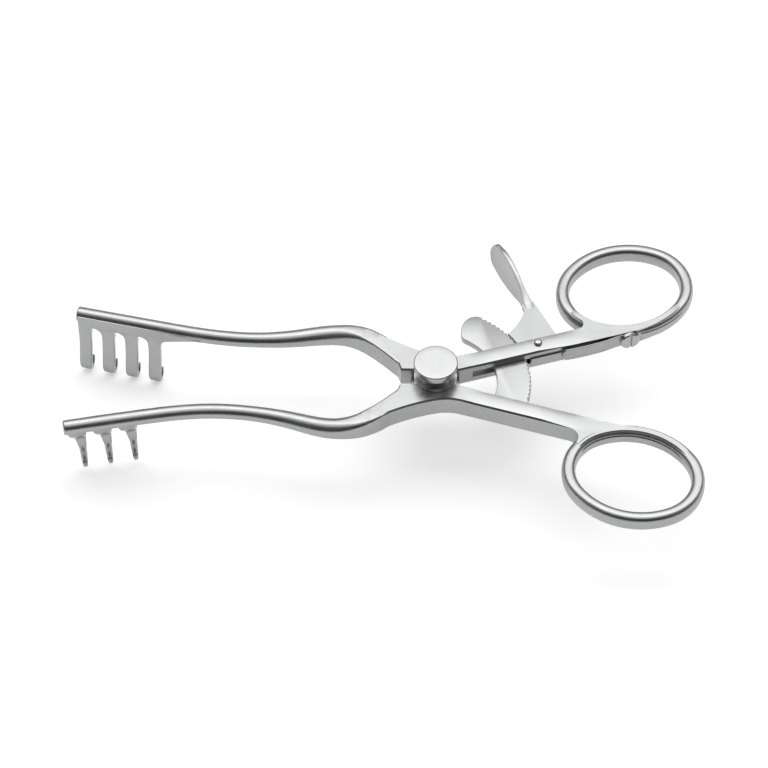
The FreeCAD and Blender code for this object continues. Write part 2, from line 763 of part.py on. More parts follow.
def slotted_arm():
    body = arm_body(slotted_shank, slotted_shank_inner, slotted_shank_width, slotted_ring_seat,
                    slotted_rim_angle, slotted_web_round, slotted_inner_side, slotted_outer_side,
                    slotted_rod)
    body = body.cut(disc(lower_disc_radius + lap_side_gap, -cut_margin, middle + lap_face_gap + cut_margin))
    body = body.fuse(disc(upper_disc_radius, middle + lap_face_gap, middle - lap_face_gap))
    body = body.cut(through_hole(pivot_radius + pivot_clearance))
    body = body.cut(lever_slot())
    body = body.cut(through_hole(lever_pin_radius, slotted_shank.point(lever_pin_s, lever_pin_n)))
    body = body.cut(screw_axis_cylinder(seat_radius, -leaf_room_depth, leaf_room_depth))
    body = body.cut(leaf_room())
    hole_depth = screw_under_head() + screw_length + screw_end_gap
    body = body.cut(screw_axis_cylinder(screw_shank_radius, -cut_margin, hole_depth + cut_margin))
    first = blunt_prong_width / 2
    for index in range(blunt_prong_count):
        body = body.fuse(prong(slotted_rod, first + index * prong_pitch, blunt_prong_path,
                               blunt_prong_widths, blunt_prong_walls))
    for web in comb(slotted_rod, first, blunt_prong_count, prong_pitch, blunt_prong_width):
        body = body.fuse(web)
    return body


def plain_arm():
    body = arm_body(plain_shank, plain_shank_inner, plain_shank_width, plain_ring_seat,
                    plain_rim_angle, plain_web_round, plain_inner_side, plain_outer_side, plain_rod)
    body = body.cut(disc(upper_disc_radius + lap_side_gap, middle, middle + cut_margin))
    body = body.fuse(disc(lower_disc_radius, 0, middle))
    body = body.cut(through_hole(pivot_radius))
    body = body.cut(ratchet_bar())
    for place in rivet_places():
        body = body.cut(rivet(place, cut_margin))
    first = sharp_prong_width / 2 + sharp_prong_start
    for index in range(sharp_prong_count):
        body = body.fuse(prong(plain_rod, first + index * sharp_prong_pitch, sharp_prong_path,
                               sharp_prong_widths, sharp_prong_walls))
    return body


def bar_with_rivet_holes():
    bar = ratchet_bar()
    for place in rivet_places():
        bar = bar.cut(rivet(place, cut_margin))
    return bar


nodes = {
    "slotted_arm": slotted_arm,
    "plain_arm": plain_arm,
    "pivot_screw": pivot_screw,
    "ratchet_bar": bar_with_rivet_holes,
    "ratchet_rivets": ratchet_rivets,
    "release_lever": release_lever,
    "lever_pin": lever_pin,
    "leaf_spring": leaf_spring,
    "spring_screw": spring_screw,
}

os.makedirs("parts", exist_ok=True)
for name, make in nodes.items():
    shape = make()
    shape.exportStep("parts/" + name + ".step")
    box = shape.BoundBox
    print(name, len(shape.Solids), "solids", shape.isValid(), round(shape.Volume, 1), "mm3",
          [round(value, 1) for value in (box.XMin, box.XMax, box.YMin, box.YMax, box.ZMin, box.ZMax)])
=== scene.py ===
import math

import bmesh
import bpy
import numpy as np
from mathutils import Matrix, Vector


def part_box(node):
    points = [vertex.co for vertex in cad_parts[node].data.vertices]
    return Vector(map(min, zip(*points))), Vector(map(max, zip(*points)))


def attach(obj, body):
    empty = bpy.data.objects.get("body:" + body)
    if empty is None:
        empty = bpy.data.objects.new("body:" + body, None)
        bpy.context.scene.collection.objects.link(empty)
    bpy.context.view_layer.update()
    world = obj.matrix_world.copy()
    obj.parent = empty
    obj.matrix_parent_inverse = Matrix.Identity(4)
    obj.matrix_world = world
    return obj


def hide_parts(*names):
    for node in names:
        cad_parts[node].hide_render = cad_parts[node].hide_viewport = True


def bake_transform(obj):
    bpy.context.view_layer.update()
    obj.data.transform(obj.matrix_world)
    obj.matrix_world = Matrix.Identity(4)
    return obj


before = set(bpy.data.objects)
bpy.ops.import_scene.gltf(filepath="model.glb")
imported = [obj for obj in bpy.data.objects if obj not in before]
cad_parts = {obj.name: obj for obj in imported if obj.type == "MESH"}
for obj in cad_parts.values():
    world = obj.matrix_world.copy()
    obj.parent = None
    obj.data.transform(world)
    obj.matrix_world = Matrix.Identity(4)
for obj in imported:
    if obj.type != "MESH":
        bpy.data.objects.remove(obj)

bl_info = {
    "name": "Self retaining retractor",
    "version": (1, 1, 0),
    "blender": (4, 5, 0),
    "location": "3D View > Sidebar > Retractor",
    "description": "Builds the finished looks of a self retaining surgical retractor over its frame",
    "category": "Object",
}

MM = 0.001
UP = np.array([0.0, 0.0, 1.0])

# Heights from the frame
ARM_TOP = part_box("slotted_arm")[1].z
ARM_MIDDLE = ARM_TOP / 2
KNOB_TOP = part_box("pivot_screw")[1].z
KNOB_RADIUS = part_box("pivot_screw")[1].x
BAR_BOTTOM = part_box("ratchet_bar")[0].z
BAR_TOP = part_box("ratchet_bar")[1].z
BAR_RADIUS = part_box("ratchet_bar")[1].x
LOWEST = min(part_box("slotted_arm")[0].z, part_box("plain_arm")[0].z)

# Plan points of each jaw rod in millimetres, from its free end to the shoulder
SLOTTED_ROD = ((-94.0, 23.8), (-72.6, 18.8), (-60.6, 16.2), (-48.5, 14.8), (-37.0, 15.2), (-28.0, 16.3),
               (-21.5, 15.9), (-17.1, 14.0), (-13.2, 10.9), (-9.8, 7.5), (-7.2, 4.9))
PLAIN_ROD = ((-95.8, -14.9), (-75.4, -11.2), (-60.5, -9.4), (-48.2, -10.1), (-37.0, -12.6), (-27.5, -15.1),
             (-21.0, -14.6), (-17.0, -12.9), (-13.1, -10.2), (-9.8, -7.3), (-7.4, -5.0))

# Middle and half width of a ring's wall, out from the edge of its hole, and the span that belongs to the wall
RING_MIDDLE = 0.7 * MM
RING_HALF_WALL = 1.8 * MM
RING_SPAN = (-1.3 * MM, 2.7 * MM)

# How far a copied ring is drawn in under its round wall, and how much smaller that wall is beside the shank
RING_DRAW = 0.2
RING_SHRINK = 0.04

# Sines of the turn round a ring between which its round wall ends, beside the web and at the spring's screw
WEB_FADE = (-0.4, -0.12)
SCREW_FADE = (-0.88, -0.62)

# Middle of each shank beside its centre line in millimetres, and how its flat top is crowned along the shank
SHANK_MIDDLES = {"slotted": 2.6, "plain": 3.5}
CROWN_HALF = 2.5 * MM
CROWN_DROP = 0.18 * MM
CROWN_RISE = (9.0 * MM, 13.0 * MM)
CROWN_FADE = (36.0 * MM, 43.0 * MM)

# Where the copied shoulders end and the jaw rods take over, and how far the arms' edges are rounded
ELBOW_X = -18.6 * MM
ARM_RIM = 0.2 * MM

# Places along X where the arms start and stop growing thinner towards their rings
TAPER_FOLDS = (27.0 * MM, 42.0 * MM)

# Shank angles in degrees and the seat of each finger ring beside its shank, in millimetres
SHANK_ANGLES = {"slotted": 16.6, "plain": 17.5}
RING_SEATS = {"slotted": 2.2, "plain": 1.3}
SIDES = {"slotted": 1, "plain": -1}
BODIES = {"slotted": "slotted_half", "plain": "plain_half"}


class SteelSettings(bpy.types.PropertyGroup):
    """Colours and polish of the stainless steel."""

    arm_colour: bpy.props.FloatVectorProperty(
        name="Arm colour",
        description="Colour of the satin steel of the arms",
        subtype="COLOR",
        size=3,
        min=0.0,
        max=1.0,
        default=(0.46, 0.461, 0.463),
    )
    arm_roughness: bpy.props.FloatProperty(
        name="Arm roughness",
        description="Roughness of the satin steel of the arms",
        subtype="FACTOR",
        min=0.0,
        max=1.0,
        default=0.3,
    )
    plate_colour: bpy.props.FloatVectorProperty(
        name="Plate colour",
        description="Colour of the ratchet bar and the release lever",
        subtype="COLOR",
        size=3,
        min=0.0,
        max=1.0,
        default=(0.46, 0.461, 0.463),
    )
    knob_colour: bpy.props.FloatVectorProperty(
        name="Knob colour",
        description="Colour of the turned steel of the knob",
        subtype="COLOR",
        size=3,
        min=0.0,
        max=1.0,
        default=(0.48, 0.481, 0.482),
    )
    spring_colour: bpy.props.FloatVectorProperty(
        name="Spring colour",
        description="Colour of the brushed leaf spring",
        subtype="COLOR",
        size=3,
        min=0.0,
        max=1.0,
        default=(0.42, 0.421, 0.423),
    )


class JawSettings(bpy.types.PropertyGroup):
    """Sizes of the rods and prongs."""

    rod_diameter: bpy.props.FloatProperty(
        name="Rod diameter",
        description="Diameter of the round part of each jaw rod",
        unit="LENGTH",
        default=3.95 * MM,
    )
    prong_reach: bpy.props.FloatProperty(
        name="Prong reach",
        description="Depth of the prongs below the middle of the rod",
        unit="LENGTH",
        default=19.4 * MM,
    )
    blunt_width: bpy.props.FloatProperty(
        name="Blunt prong width",
        description="Width of each blunt prong",
        unit="LENGTH",
        default=3.4 * MM,
    )
    blunt_pitch: bpy.props.FloatProperty(
        name="Blunt prong pitch",
        description="Distance from one blunt prong to the next",
        unit="LENGTH",
        default=6.35 * MM,
    )
    claw_width: bpy.props.FloatProperty(
        name="Claw width",
        description="Width of each claw at its root",
        unit="LENGTH",
        default=4.2 * MM,
    )
    claw_pitch: bpy.props.FloatProperty(
        name="Claw pitch",
        description="Distance from one claw to the next",
        unit="LENGTH",
        default=6.65 * MM,
    )


class RingSettings(bpy.types.PropertyGroup):
    """Sizes of the finger rings."""

    long_radius: bpy.props.FloatProperty(
        name="Long radius",
        description="Half length of the finger hole along the shank",
        unit="LENGTH",
        default=16.0 * MM,
    )
    short_radius: bpy.props.FloatProperty(
        name="Short radius",
        description="Half width of the finger hole across the shank",
        unit="LENGTH",
        default=13.2 * MM,
    )
    start: bpy.props.FloatProperty(
        name="Start of the hole",
        description="Distance from the pivot to the near end of the finger hole",
        unit="LENGTH",
        default=41.3 * MM,
    )
    thickness: bpy.props.FloatProperty(
        name="Ring thickness",
        description="Height of the ring between its flat faces",
        unit="LENGTH",
        default=4.9 * MM,
    )


class StageSettings(bpy.types.PropertyGroup):
    """Camera, lamp and floor."""

    camera_distance: bpy.props.FloatProperty(
        name="Camera distance",
        description="Distance from the camera to the point it looks at",
        unit="LENGTH",
        default=1.0,
    )
    camera_elevation: bpy.props.FloatProperty(
        name="Camera elevation",
        description="Angle of the camera above the horizon",
        subtype="ANGLE",
        unit="ROTATION",
        default=math.radians(50.5),
    )
    focal_length: bpy.props.FloatProperty(
        name="Focal length",
        description="Focal length in millimetres on a 36 mm wide sensor",
        default=180.5,
    )
    softbox_power: bpy.props.FloatProperty(
        name="Softbox power",
        description="Power of the large lamp behind and above the instrument",
        unit="POWER",
        default=15.5,
    )
    floor_gap: bpy.props.FloatProperty(
        name="Floor gap",
        description="Height of the prong tips over the floor",
        unit="LENGTH",
        default=0.4 * MM,
    )


def new_material(name):
    """Empty node material with its shader and output."""
    material = bpy.data.materials.new(name)
    material.use_nodes = True
    tree = material.node_tree
    tree.nodes.clear()
    output = tree.nodes.new("ShaderNodeOutputMaterial")
    shader = tree.nodes.new("ShaderNodeBsdfPrincipled")
    tree.links.new(shader.outputs["BSDF"], output.inputs["Surface"])
    return material, tree, shader


def noise(tree, scale, detail=3.0, stretch=(1.0, 1.0, 1.0), turn=0.0):
    """Noise on Object coordinates, in cells per metre, stretched and turned about Z."""
    place = tree.nodes.new("ShaderNodeTexCoord")
    mapping = tree.nodes.new("ShaderNodeMapping")
    mapping.inputs["Scale"].default_value = stretch
    mapping.inputs["Rotation"].default_value = (0.0, 0.0, turn)
    texture = tree.nodes.new("ShaderNodeTexNoise")
    texture.inputs["Scale"].default_value = scale
    texture.inputs["Detail"].default_value = detail
    tree.links.new(place.outputs["Object"], mapping.inputs["Vector"])
    tree.links.new(mapping.outputs["Vector"], texture.inputs["Vector"])
    return texture.outputs["Fac"]


def spread(tree, value, low, high, start=0.3, end=0.7):
    """Maps a texture value from start..end to low..high."""
    node = tree.nodes.new("ShaderNodeMapRange")
    node.inputs["From Min"].default_value = start
    node.inputs["From Max"].default_value = end
    node.inputs["To Min"].default_value = low
    node.inputs["To Max"].default_value = high
    tree.links.new(value, node.inputs["Value"])
    return node.outputs["Result"]


def combine(tree, operation, first, second):
    """Math node on two values."""
    node = tree.nodes.new("ShaderNodeMath")
    node.operation = operation
    for socket, value in zip(node.inputs, (first, second)):
        if isinstance(value, float):
            socket.default_value = value
        else:
            tree.links.new(value, socket)
    return node.outputs["Value"]


def brushed_steel(name, colour, roughness, turn=0.0, brush=0.35, relief=0.12):
    """Satin steel: fine grain, brush lines turned about Z, slow cloudiness and faint handling marks."""
    material, tree, shader = new_material(name)
    shader.inputs["Metallic"].default_value = 1.0
    shader.inputs["Anisotropic"].default_value = 0.2
    cloud = noise(tree, 55.0, 4.0)
    lines = noise(tree, 1500.0, 3.0, (0.04, 1.0, 1.0), turn)
    grain = noise(tree, 5200.0, 2.0)
    marks = noise(tree, 260.0, 5.0, (1.0, 0.35, 1.0), turn + 0.6)
    shade = combine(tree, "ADD", spread(tree, cloud, 0.0, 0.6), spread(tree, lines, 0.0, brush))
    tint = tree.nodes.new("ShaderNodeMix")
    tint.data_type = "RGBA"
    tint.inputs["A"].default_value = (*[part * 0.93 for part in colour], 1.0)
    tint.inputs["B"].default_value = (*[min(part * 1.06, 1.0) for part in colour], 1.0)
    tree.links.new(shade, tint.inputs["Factor"])
    tree.links.new(tint.outputs["Result"], shader.inputs["Base Color"])
    polish = combine(tree, "ADD", spread(tree, lines, roughness - 0.04, roughness + 0.04),
                     spread(tree, marks, -0.03, 0.03))
    tree.links.new(polish, shader.inputs["Roughness"])
    bump = tree.nodes.new("ShaderNodeBump")
    bump.inputs["Strength"].default_value = relief
    bump.inputs["Distance"].default_value = 0.00004
    tree.links.new(combine(tree, "ADD", lines, grain), bump.inputs["Height"])
    tree.links.new(bump.outputs["Normal"], shader.inputs["Normal"])
    return material


def arm_steel():
    steel = bpy.context.scene.retractor_steel
    return brushed_steel("arm satin steel", steel.arm_colour, steel.arm_roughness, 0.1, 0.2, 0.08)


def plate_steel():
    steel = bpy.context.scene.retractor_steel
    roughness = steel.arm_roughness + 0.04
    return brushed_steel("plate satin steel", steel.plate_colour, roughness, 0.9, 0.25, 0.1)


def knob_steel():
    steel = bpy.context.scene.retractor_steel
    roughness = steel.arm_roughness - 0.04
    return brushed_steel("knob brushed steel", steel.knob_colour, roughness, 0.75, 0.35, 0.06)


def spring_steel():
    steel = bpy.context.scene.retractor_steel
    return brushed_steel("brushed spring steel", steel.spring_colour, steel.arm_roughness, 0.5, 0.9, 0.25)


def shank_frame(arm):
    """Directions along a shank and outward from its centre line."""
    turn = math.radians(SHANK_ANGLES[arm])
    side = SIDES[arm]
    along = np.array([math.cos(turn), side * math.sin(turn), 0.0])
    outward = np.array([-math.sin(turn), side * math.cos(turn), 0.0])
    return along, outward


def eased(value, start, end):
    """Smooth share from 0 at start to 1 at end."""
    share = np.clip((value - start) / (end - start), 0.0, 1.0)
    return share * share * (3.0 - 2.0 * share)


def curve_through(points, count):
    """Natural cubic spline through the points, its parameter the length of the chords."""
    points = np.asarray(points, dtype=float)
    steps = np.linalg.norm(np.diff(points, axis=0), axis=1)
    stops = np.concatenate([[0.0], np.cumsum(steps)])
    total = len(points)
    inner = np.arange(1, total - 1)
    matrix = np.eye(total)
    matrix[inner, inner - 1] = steps[:-1]
    matrix[inner, inner] = 2.0 * (steps[:-1] + steps[1:])
    matrix[inner, inner + 1] = steps[1:]
    slopes = np.diff(points, axis=0) / steps[:, None]
    right = np.zeros_like(points)
    right[1:-1] = 6.0 * np.diff(slopes, axis=0)
    bends = np.linalg.solve(matrix, right)
    at = np.linspace(0.0, stops[-1], count)
    index = np.clip(np.searchsorted(stops, at, side="right") - 1, 0, total - 2)
    width = steps[index][:, None]
    low = (stops[index + 1] - at)[:, None] / width
    high = 1.0 - low
    curved = (low**3 - low) * bends[index] + (high**3 - high) * bends[index + 1]
    return low * points[index] + high * points[index + 1] + curved * width**2 / 6.0


def unit_rows(vectors):
    """Each row of an array as a unit vector."""
    return vectors / np.linalg.norm(vectors, axis=1)[:, None]


def directions(path):
    """Unit tangents of a row of points."""
    return unit_rows(np.gradient(path, axis=0))


def arc_places(centre, radius, start, end, count):
    """Places on an arc about a centre in its own plane, from start to end in degrees."""
    turn = np.radians(np.linspace(start, end, count))
    return np.column_stack([centre[0] + radius * np.cos(turn), centre[1] + radius * np.sin(turn)])


def rounded_loops(centres, sideways, upward, widths, heights, corners, around=40):
    """Rounded rectangles, one for each centre: corner radius * (cos, sin) about the four corner centres."""
    turn = (np.arange(around) + 0.5) * 2.0 * math.pi / around
    sizes = [np.asarray(size, dtype=float)[:, None] for size in (widths, heights, corners)]
    widths, heights, corners = sizes
    aside = np.sign(np.cos(turn)) * (widths / 2 - corners) + corners * np.cos(turn)
    above = np.sign(np.sin(turn)) * (heights / 2 - corners) + corners * np.sin(turn)
    shifts = aside[:, :, None] * sideways[:, None, :] + above[:, :, None] * upward[:, None, :]
    return centres[:, None, :] + shifts


def wall_faces(rows, around):
    """Faces between each closed loop of points and the next."""
    row = np.arange(rows - 1)[:, None] * around
    column = np.arange(around)
    after = (column + 1) % around
    quads = np.stack([row + column, row + after, row + around + after, row + around + column], axis=-1)
    return quads.reshape(-1, 4).tolist()


def tube(loops):
    """Closed skin over a row of closed loops, with a pole at each end, as points and faces."""
    rows, around = loops.shape[:2]
    poles = np.stack([loops[0].mean(axis=0), loops[-1].mean(axis=0)])
    places = np.vstack([loops.reshape(-1, 3), poles])
    column = np.arange(around)
    after = (column + 1) % around
    last = (rows - 1) * around
    first_pole = np.full(around, rows * around)
    start = np.stack([first_pole, after, column], axis=-1)
    end = np.stack([first_pole + 1, last + column, last + after], axis=-1)
    return places, wall_faces(rows, around) + start.tolist() + end.tolist()


def closed_band(loops):
    """Closed skin over loops that come round to the first one, as points and faces."""
    rows, around = loops.shape[:2]
    row = np.arange(rows)[:, None]
    column = np.arange(around)[None, :]
    next_row = (row + 1) % rows
    after = (column + 1) % around
    quads = np.stack([row * around + column, row * around + after, next_row * around + after,
                      next_row * around + column], axis=-1)
    return loops.reshape(-1, 3), quads.reshape(-1, 4).tolist()


def slab(outline, normal, depth, rim):
    """Plate over an outline, with both edges rounded by four insets rim * (1 - sin), rim * (1 - cos)."""
    outline = np.asarray(outline, dtype=float)
    before = unit_rows(outline - np.roll(outline, 1, axis=0))
    beyond = unit_rows(np.roll(outline, -1, axis=0) - outline)
    tangents = unit_rows(before + beyond)
    inward = np.cross(normal, tangents)
    area = np.cross(outline, np.roll(outline, -1, axis=0)).sum(axis=0) @ normal
    inward *= math.copysign(1.0, area)
    turns = np.linspace(0.0, math.pi / 2, 4)
    insets = np.concatenate([rim * (1 - np.sin(turns)), rim * (1 - np.cos(turns))])
    levels = np.concatenate([rim * (1 - np.cos(turns)), depth - rim * (1 - np.sin(turns))])
    loops = outline + inward * insets[:, None, None] + normal * levels[:, None, None]
    rows, around = loops.shape[:2]
    caps = [list(range(around))[::-1], list(range((rows - 1) * around, rows * around))]
    return loops.reshape(-1, 3), wall_faces(rows, around) + caps


def make_piece(name, skin, body, material, sharp=math.radians(50), replaced=()):
    """Object from points and faces, turned outward, shaded smooth up to an angle and riding on a body."""
    places, faces = skin
    mesh = bpy.data.meshes.new(name)
    mesh.from_pydata(np.asarray(places).tolist(), [], faces)
    shape = bmesh.new()
    shape.from_mesh(mesh)
    bmesh.ops.recalc_face_normals(shape, faces=shape.faces)
    shape.to_mesh(mesh)
    shape.free()
    return finish_piece(name, mesh, body, material, sharp, replaced)


def keep_folds(mesh):
    """Keeps the shallow folds crisp where the arms start and stop growing thinner."""
    places = np.empty(len(mesh.vertices) * 3)
    mesh.vertices.foreach_get("co", places)
    x = places.reshape(-1, 3)[:, 0]
    ends = np.empty(len(mesh.edges) * 2, dtype=np.int32)
    mesh.edges.foreach_get("vertices", ends)
    ends = ends.reshape(-1, 2)
    fold = np.zeros(len(ends), dtype=bool)
    for line in TAPER_FOLDS:
        fold |= (np.abs(x[ends] - line) < 2e-6).all(axis=1)
    edges = mesh.attributes["sharp_edge"]
    sharp = np.zeros(len(ends), dtype=bool)
    edges.data.foreach_get("value", sharp)
    edges.data.foreach_set("value", sharp | fold)


def finish_piece(name, mesh, body, material, sharp, replaced):
    """Shades a mesh, adds its material and puts it in the scene, on its body, hiding the nodes it replaces.
    """
    mesh.shade_smooth()
    mesh.set_sharp_from_angle(angle=sharp)
    keep_folds(mesh)
    mesh.materials.clear()
    mesh.materials.append(material)
    piece = bpy.data.objects.new(name, mesh)
    bpy.context.scene.collection.objects.link(piece)
    if body:
        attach(piece, body)
    if replaced:
        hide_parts(*replaced)
    return piece


def merged_shape(node):
    """Mesh of a frame node whose loose triangles are merged where they meet."""
    shape = bmesh.new()
    shape.from_mesh(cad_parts[node].data)
    bmesh.ops.remove_doubles(shape, verts=shape.verts, dist=1e-6)
    return shape


def copied_piece(name, node, material, body, cut=None, rim=0.0, lines=(), reshape=None):
    """Smooth copy of a frame node: cut, its top divided by lines, reshaped, and its edges rounded by rim."""
    shape = merged_shape(node)
    for place, direction in lines:
        faces = [face for face in shape.faces if face.normal.z > 0.5]
        edges = list({edge for face in faces for edge in face.edges})
        corners = list({corner for face in faces for corner in face.verts})
        bmesh.ops.bisect_plane(shape, geom=corners + edges + faces, plane_co=place, plane_no=direction)
    if cut is not None:
        place, direction = cut
        everything = shape.verts[:] + shape.edges[:] + shape.faces[:]
        bmesh.ops.bisect_plane(shape, geom=everything, plane_co=place, plane_no=direction, clear_inner=True)
        rims = [edge for edge in shape.edges if edge.is_boundary]
        bmesh.ops.holes_fill(shape, edges=rims)
    bmesh.ops.recalc_face_normals(shape, faces=shape.faces)
    mesh = bpy.data.meshes.new(name)
    shape.to_mesh(mesh)
    shape.free()
    if "custom_normal" in mesh.attributes:
        mesh.attributes.remove(mesh.attributes["custom_normal"])
    if reshape is not None:
        places = np.empty(len(mesh.vertices) * 3)
        mesh.vertices.foreach_get("co", places)
        mesh.vertices.foreach_set("co", reshape(places.reshape(-1, 3)).ravel())
    piece = finish_piece(name, mesh, body, material, math.radians(30), (node,))
    if rim > 0.0:
        edge = piece.modifiers.new("rounded edges", "BEVEL")
        edge.width = rim
        edge.segments = 3
        edge.harden_normals = True
        edge.limit_method = "ANGLE"
        edge.angle_limit = math.radians(30)
        edge.use_clamp_overlap = True


def plan_points(points):
    """Plan points in millimetres as places in the middle plane of the arms."""
    flat = np.asarray(points, dtype=float) * MM
    return np.column_stack([flat, np.full(len(flat), ARM_MIDDLE)])


def elbow_cut(points):
    """Plane across the jaw rod just before its shoulder, facing the pivot."""
    path = curve_through(plan_points(points), 400)
    index = int(np.argmin(np.abs(path[:, 0] - ELBOW_X)))
    return Vector(path[index]), Vector(directions(path)[index])


def oval(settings):
    """Four arcs of the finger hole: end and side radius, shifts of their centres, turn at their joint."""
    corner = math.hypot(settings.long_radius, settings.short_radius)
    excess = settings.long_radius - settings.short_radius
    end_radius = (corner - excess) / 2 * corner / settings.long_radius
    side_radius = (corner + excess) / 2 * corner / settings.short_radius
    end_shift = settings.long_radius - end_radius
    side_shift = side_radius - settings.short_radius
    return end_radius, side_radius, end_shift, side_shift, math.atan2(side_shift, end_shift)


def ring_share(cosine, sine):
    """Share of the round wall at a place on the ring: less beside the shank, later on the far side."""
    return np.where(cosine > 0.0, eased(sine, *SCREW_FADE), eased(sine, *WEB_FADE))


def crown_lines(arm):
    """Planes along and across a shank that divide its top for the crown."""
    along, outward = shank_frame(arm)
    middle = SHANK_MIDDLES[arm] * MM
    offsets = middle + np.linspace(-0.9, 0.9, 9) * CROWN_HALF
    lines = [(Vector(outward * offset), Vector(outward)) for offset in offsets]
    steps = np.linspace(CROWN_RISE[0], CROWN_FADE[1], 18)
    return lines + [(Vector(along * step), Vector(along)) for step in steps]


def crowned(places, arm):
    """Lets the top of a shank fall away to its edges by drop * (beside / half)^2."""
    along, outward = shank_frame(arm)
    s = places @ along
    beside = np.minimum(np.abs(places @ outward - SHANK_MIDDLES[arm] * MM) / CROWN_HALF, 1.0)
    share = eased(s, *CROWN_RISE) * (1.0 - eased(s, *CROWN_FADE))
    share = share * eased(places[:, 2], ARM_TOP - 1.2 * MM, ARM_TOP - 0.5 * MM)
    moved = places.copy()
    moved[:, 2] -= CROWN_DROP * share * beside**2
    return moved


def slimmed_ring(places, arm, settings):
    """Draws a copied arm's ring in by a fifth under its round wall, and leaves it beside the shank."""
    along, outward = shank_frame(arm)
    end_radius, side_radius, end_shift, side_shift, joint = oval(settings)
    u = places @ along - settings.start - settings.long_radius
    v = places @ outward - RING_SEATS[arm] * MM - settings.short_radius
    at_end = np.arctan2(np.abs(v), np.abs(u) - end_shift) < joint
    from_u = u - np.where(at_end, np.copysign(end_shift, u), 0.0)
    from_v = v + np.where(at_end, 0.0, np.copysign(side_shift, v))
    distance = np.maximum(np.hypot(from_u, from_v), 1e-9)
    grown = distance - np.where(at_end, end_radius, side_radius)
    in_wall = (grown > RING_SPAN[0]) & (grown < RING_SPAN[1])
    drawn = RING_DRAW * ring_share(from_u / distance, from_v / distance) * in_wall
    inset = (grown - RING_MIDDLE) * drawn / distance
    moved = places - (from_u * inset)[:, None] * along - (from_v * inset)[:, None] * outward
    moved[:, 2] -= (places[:, 2] - ARM_MIDDLE) * drawn
    return moved


class RETRACTOR_OT_arms(bpy.types.Operator):
    """Builds the shanks, shoulders and laps of both arms"""

    bl_idname = "retractor.arms"
    bl_label = "Arms"

    def execute(self, context):
        material = arm_steel()
        ring = context.scene.retractor_ring
        for arm, rod in (("slotted", SLOTTED_ROD), ("plain", PLAIN_ROD)):
            copied_piece(arm + "_arm_body", arm + "_arm", material, BODIES[arm],
                         elbow_cut(rod), ARM_RIM, crown_lines(arm),
                         lambda places: slimmed_ring(crowned(places, arm), arm, ring))
        return {"FINISHED"}


def ring_skin(arm, settings):
    """Oval of four arcs swept by a round loop: |g / a|^2.6 + |z / b|^2.6 = 1 about the wall's middle."""
    along, outward = shank_frame(arm)
    end_radius, side_radius, end_shift, side_shift, joint = oval(settings)
    turn = np.arange(256) * 2.0 * math.pi / 256
    at_end = np.abs(np.cos(turn)) > math.cos(joint)
    radius = np.where(at_end, end_radius, side_radius)[:, None]
    shift_along = np.where(at_end, np.copysign(end_shift, np.cos(turn)), 0.0)[:, None]
    shift_out = np.where(at_end, 0.0, -np.copysign(side_shift, np.sin(turn)))[:, None]
    size = 1.0 - RING_SHRINK * (1.0 - ring_share(np.cos(turn), np.sin(turn)))[:, None]
    loop = (np.arange(40) + 0.5) * 2.0 * math.pi / 40
    squareness = 2.0 / 2.6
    grown = RING_MIDDLE + size * RING_HALF_WALL * np.sign(np.cos(loop)) * np.abs(np.cos(loop)) ** squareness
    level = size * settings.thickness / 2 * np.sign(np.sin(loop)) * np.abs(np.sin(loop)) ** squareness
    reach = radius + grown
    centre_along = settings.start + settings.long_radius + shift_along + reach * np.cos(turn)[:, None]
    centre_out = RING_SEATS[arm] * MM + settings.short_radius + shift_out + reach * np.sin(turn)[:, None]
    places = centre_along[:, :, None] * along + centre_out[:, :, None] * outward
    places = places + (ARM_MIDDLE + level)[:, :, None] * UP
    return closed_band(places)


class RETRACTOR_OT_rings(bpy.types.Operator):
    """Rounds the walls of both finger rings"""

    bl_idname = "retractor.rings"
    bl_label = "Finger rings"

    def execute(self, context):
        settings = context.scene.retractor_ring
        material = arm_steel()
        for arm in ("slotted", "plain"):
            make_piece(arm + "_ring_wall", ring_skin(arm, settings), BODIES[arm], material)
        return {"FINISHED"}


def rod_skin(points, diameter):
    """Jaw rod along its bow: round at the free end, taller and squarer towards the shoulder."""
    path = curve_through(plan_points(points), 160)
    tangents = directions(path)
    x = path[:, 0] / MM
    round_end, widest, shoulder = -50.0, -27.0, -13.5
    swell = eased(x, round_end, widest)
    settle = eased(x, widest, shoulder)
    widths = diameter + (5.0 * MM - diameter) * swell - 0.5 * MM * settle
    heights = diameter + (ARM_TOP - 0.03 * MM - diameter) * eased(x, round_end, shoulder)
    corners = widths * (0.49 - 0.34 * settle)
    rim = 0.5 * MM
    tip = np.sin(np.linspace(math.pi / 2, 0.0, 7))[:-1] * rim
    shrink = 2.0 * (rim - np.sqrt(np.maximum(rim**2 - tip**2, 0.0)))
    centres = np.vstack([path[0] - tip[:, None] * tangents[0], path])
    tangents = np.vstack([np.repeat(tangents[:1], len(tip), axis=0), tangents])
    widths = np.concatenate([widths[0] - shrink, widths])
    heights = np.concatenate([heights[0] - shrink, heights])
    corners = np.concatenate([np.maximum(corners[0] - shrink / 2, 0.6 * rim), corners])
    upright = np.repeat(UP[None, :], len(centres), axis=0)
    across = np.cross(upright, tangents)
    return tube(rounded_loops(centres, across, upright, widths, heights, corners))


class RETRACTOR_OT_rods(bpy.types.Operator):
    """Sweeps the bowed jaw rods from their rounded ends into the shoulders"""

    bl_idname = "retractor.rods"
    bl_label = "Jaw rods"

    def execute(self, context):
        material = arm_steel()
        diameter = context.scene.retractor_jaw.rod_diameter
        make_piece("slotted_rod", rod_skin(SLOTTED_ROD, diameter), "slotted_half", material)
        make_piece("plain_rod", rod_skin(PLAIN_ROD, diameter), "plain_half", material)
        return {"FINISHED"}


